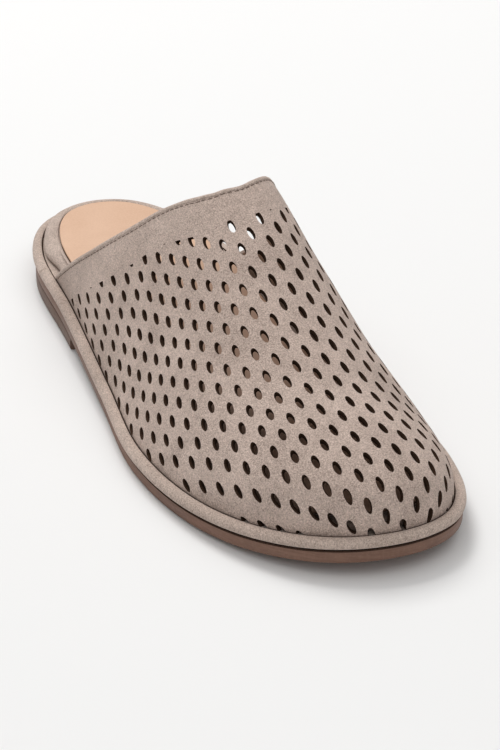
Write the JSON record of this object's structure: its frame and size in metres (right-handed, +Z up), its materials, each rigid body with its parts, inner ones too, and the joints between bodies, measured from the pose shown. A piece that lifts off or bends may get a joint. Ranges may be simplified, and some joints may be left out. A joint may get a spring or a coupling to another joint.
{
  "type": "suede mule",
  "caption": "Slip-on mule for the right foot: perforated suede vamp on a wrapped footbed with a tan leather insole, thin brown outsole and low heel, open at the back.",
  "frame": {"origin": "on the floor, under the middle of the sole's box", "axes": "+X from heel to toe, +Y to the wearer's left, which is the inner side of this right shoe, +Z up"},
  "size_m": [0.26, 0.0938, 0.0754],
  "materials": {
    "heel_lift_stack": "matte brown, smooth cut edge",
    "outsole_rubber": "matte brown, smooth cut edge",
    "welt_suede": "taupe suede, short nap",
    "footbed_suede": "taupe suede, short nap",
    "insole_leather": "natural tan leather, fine grain",
    "upper_suede": "taupe suede, short nap, perforated"
  },
  "bodies": {
    "root": {"heel_lift": "heel_lift_stack", "outsole": "outsole_rubber", "welt": "welt_suede", "footbed": "footbed_suede", "insole": "insole_leather", "upper": "upper_suede"}
  },
  "joints": []
}
